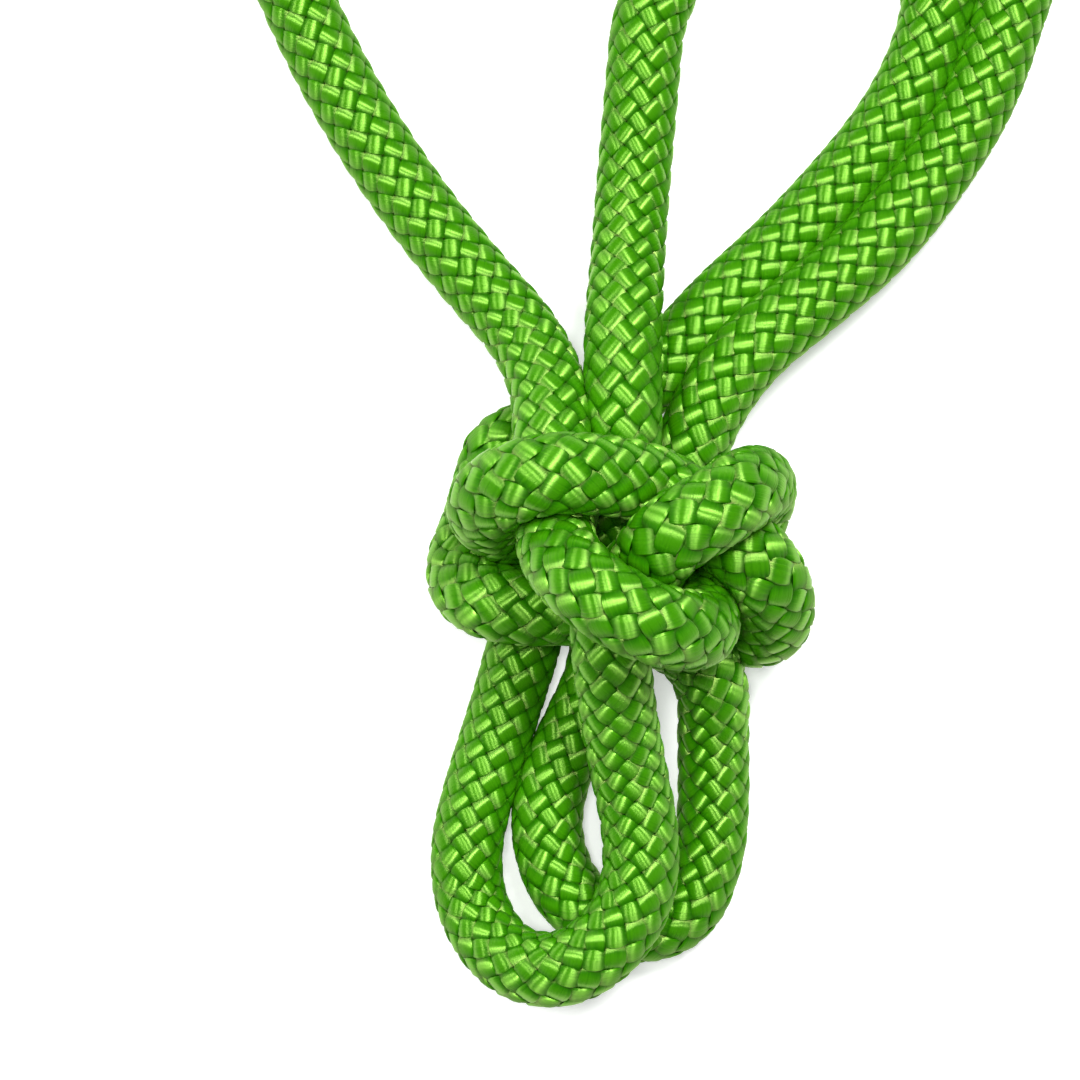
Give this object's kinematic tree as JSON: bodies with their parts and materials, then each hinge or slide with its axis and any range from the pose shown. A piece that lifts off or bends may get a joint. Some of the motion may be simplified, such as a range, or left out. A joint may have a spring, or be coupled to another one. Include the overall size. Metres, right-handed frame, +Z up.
{
  "type": "dynamic climbing rope",
  "caption": "Length of green kernmantle dynamic rope, tied in a knot that leaves loops below it, with its spare length in a round coil and its ends sleeved.",
  "frame": {"origin": "on the surface that the rope lies on, under the middle of the whole rope's box", "axes": "+Z up from the surface; +Y from the knot's loops towards the coil; +X to the right, seen from above with the coil beyond the knot"},
  "size_m": [0.1488, 0.299, 0.043],
  "materials": {
    "green_nylon_braid": "satin",
    "white_nylon_core": "satin",
    "melted_nylon": "gloss",
    "shrink_sleeve": "matte",
    "marker_tape": "matte",
    "year_thread": "matte"
  },
  "bodies": {
    "root": {"braided_sheath": "green_nylon_braid", "braided_sheath_tail": "green_nylon_braid", "core_strand_01": "white_nylon_core", "core_strand_02": "white_nylon_core", "core_strand_03": "white_nylon_core", "core_strand_04": "white_nylon_core", "core_strand_05": "white_nylon_core", "core_strand_06": "white_nylon_core", "core_strand_07": "white_nylon_core", "core_strand_08": "white_nylon_core", "core_strand_09": "white_nylon_core", "core_strand_10": "white_nylon_core", "core_strand_11": "white_nylon_core", "core_strand_12": "white_nylon_core", "end_sleeve_far": "shrink_sleeve", "end_sleeve_near": "shrink_sleeve", "identification_tape": "marker_tape", "melted_tip_far": "melted_nylon", "melted_tip_near": "melted_nylon", "rope_coil": "green_nylon_braid", "year_thread": "year_thread"}
  },
  "joints": []
}
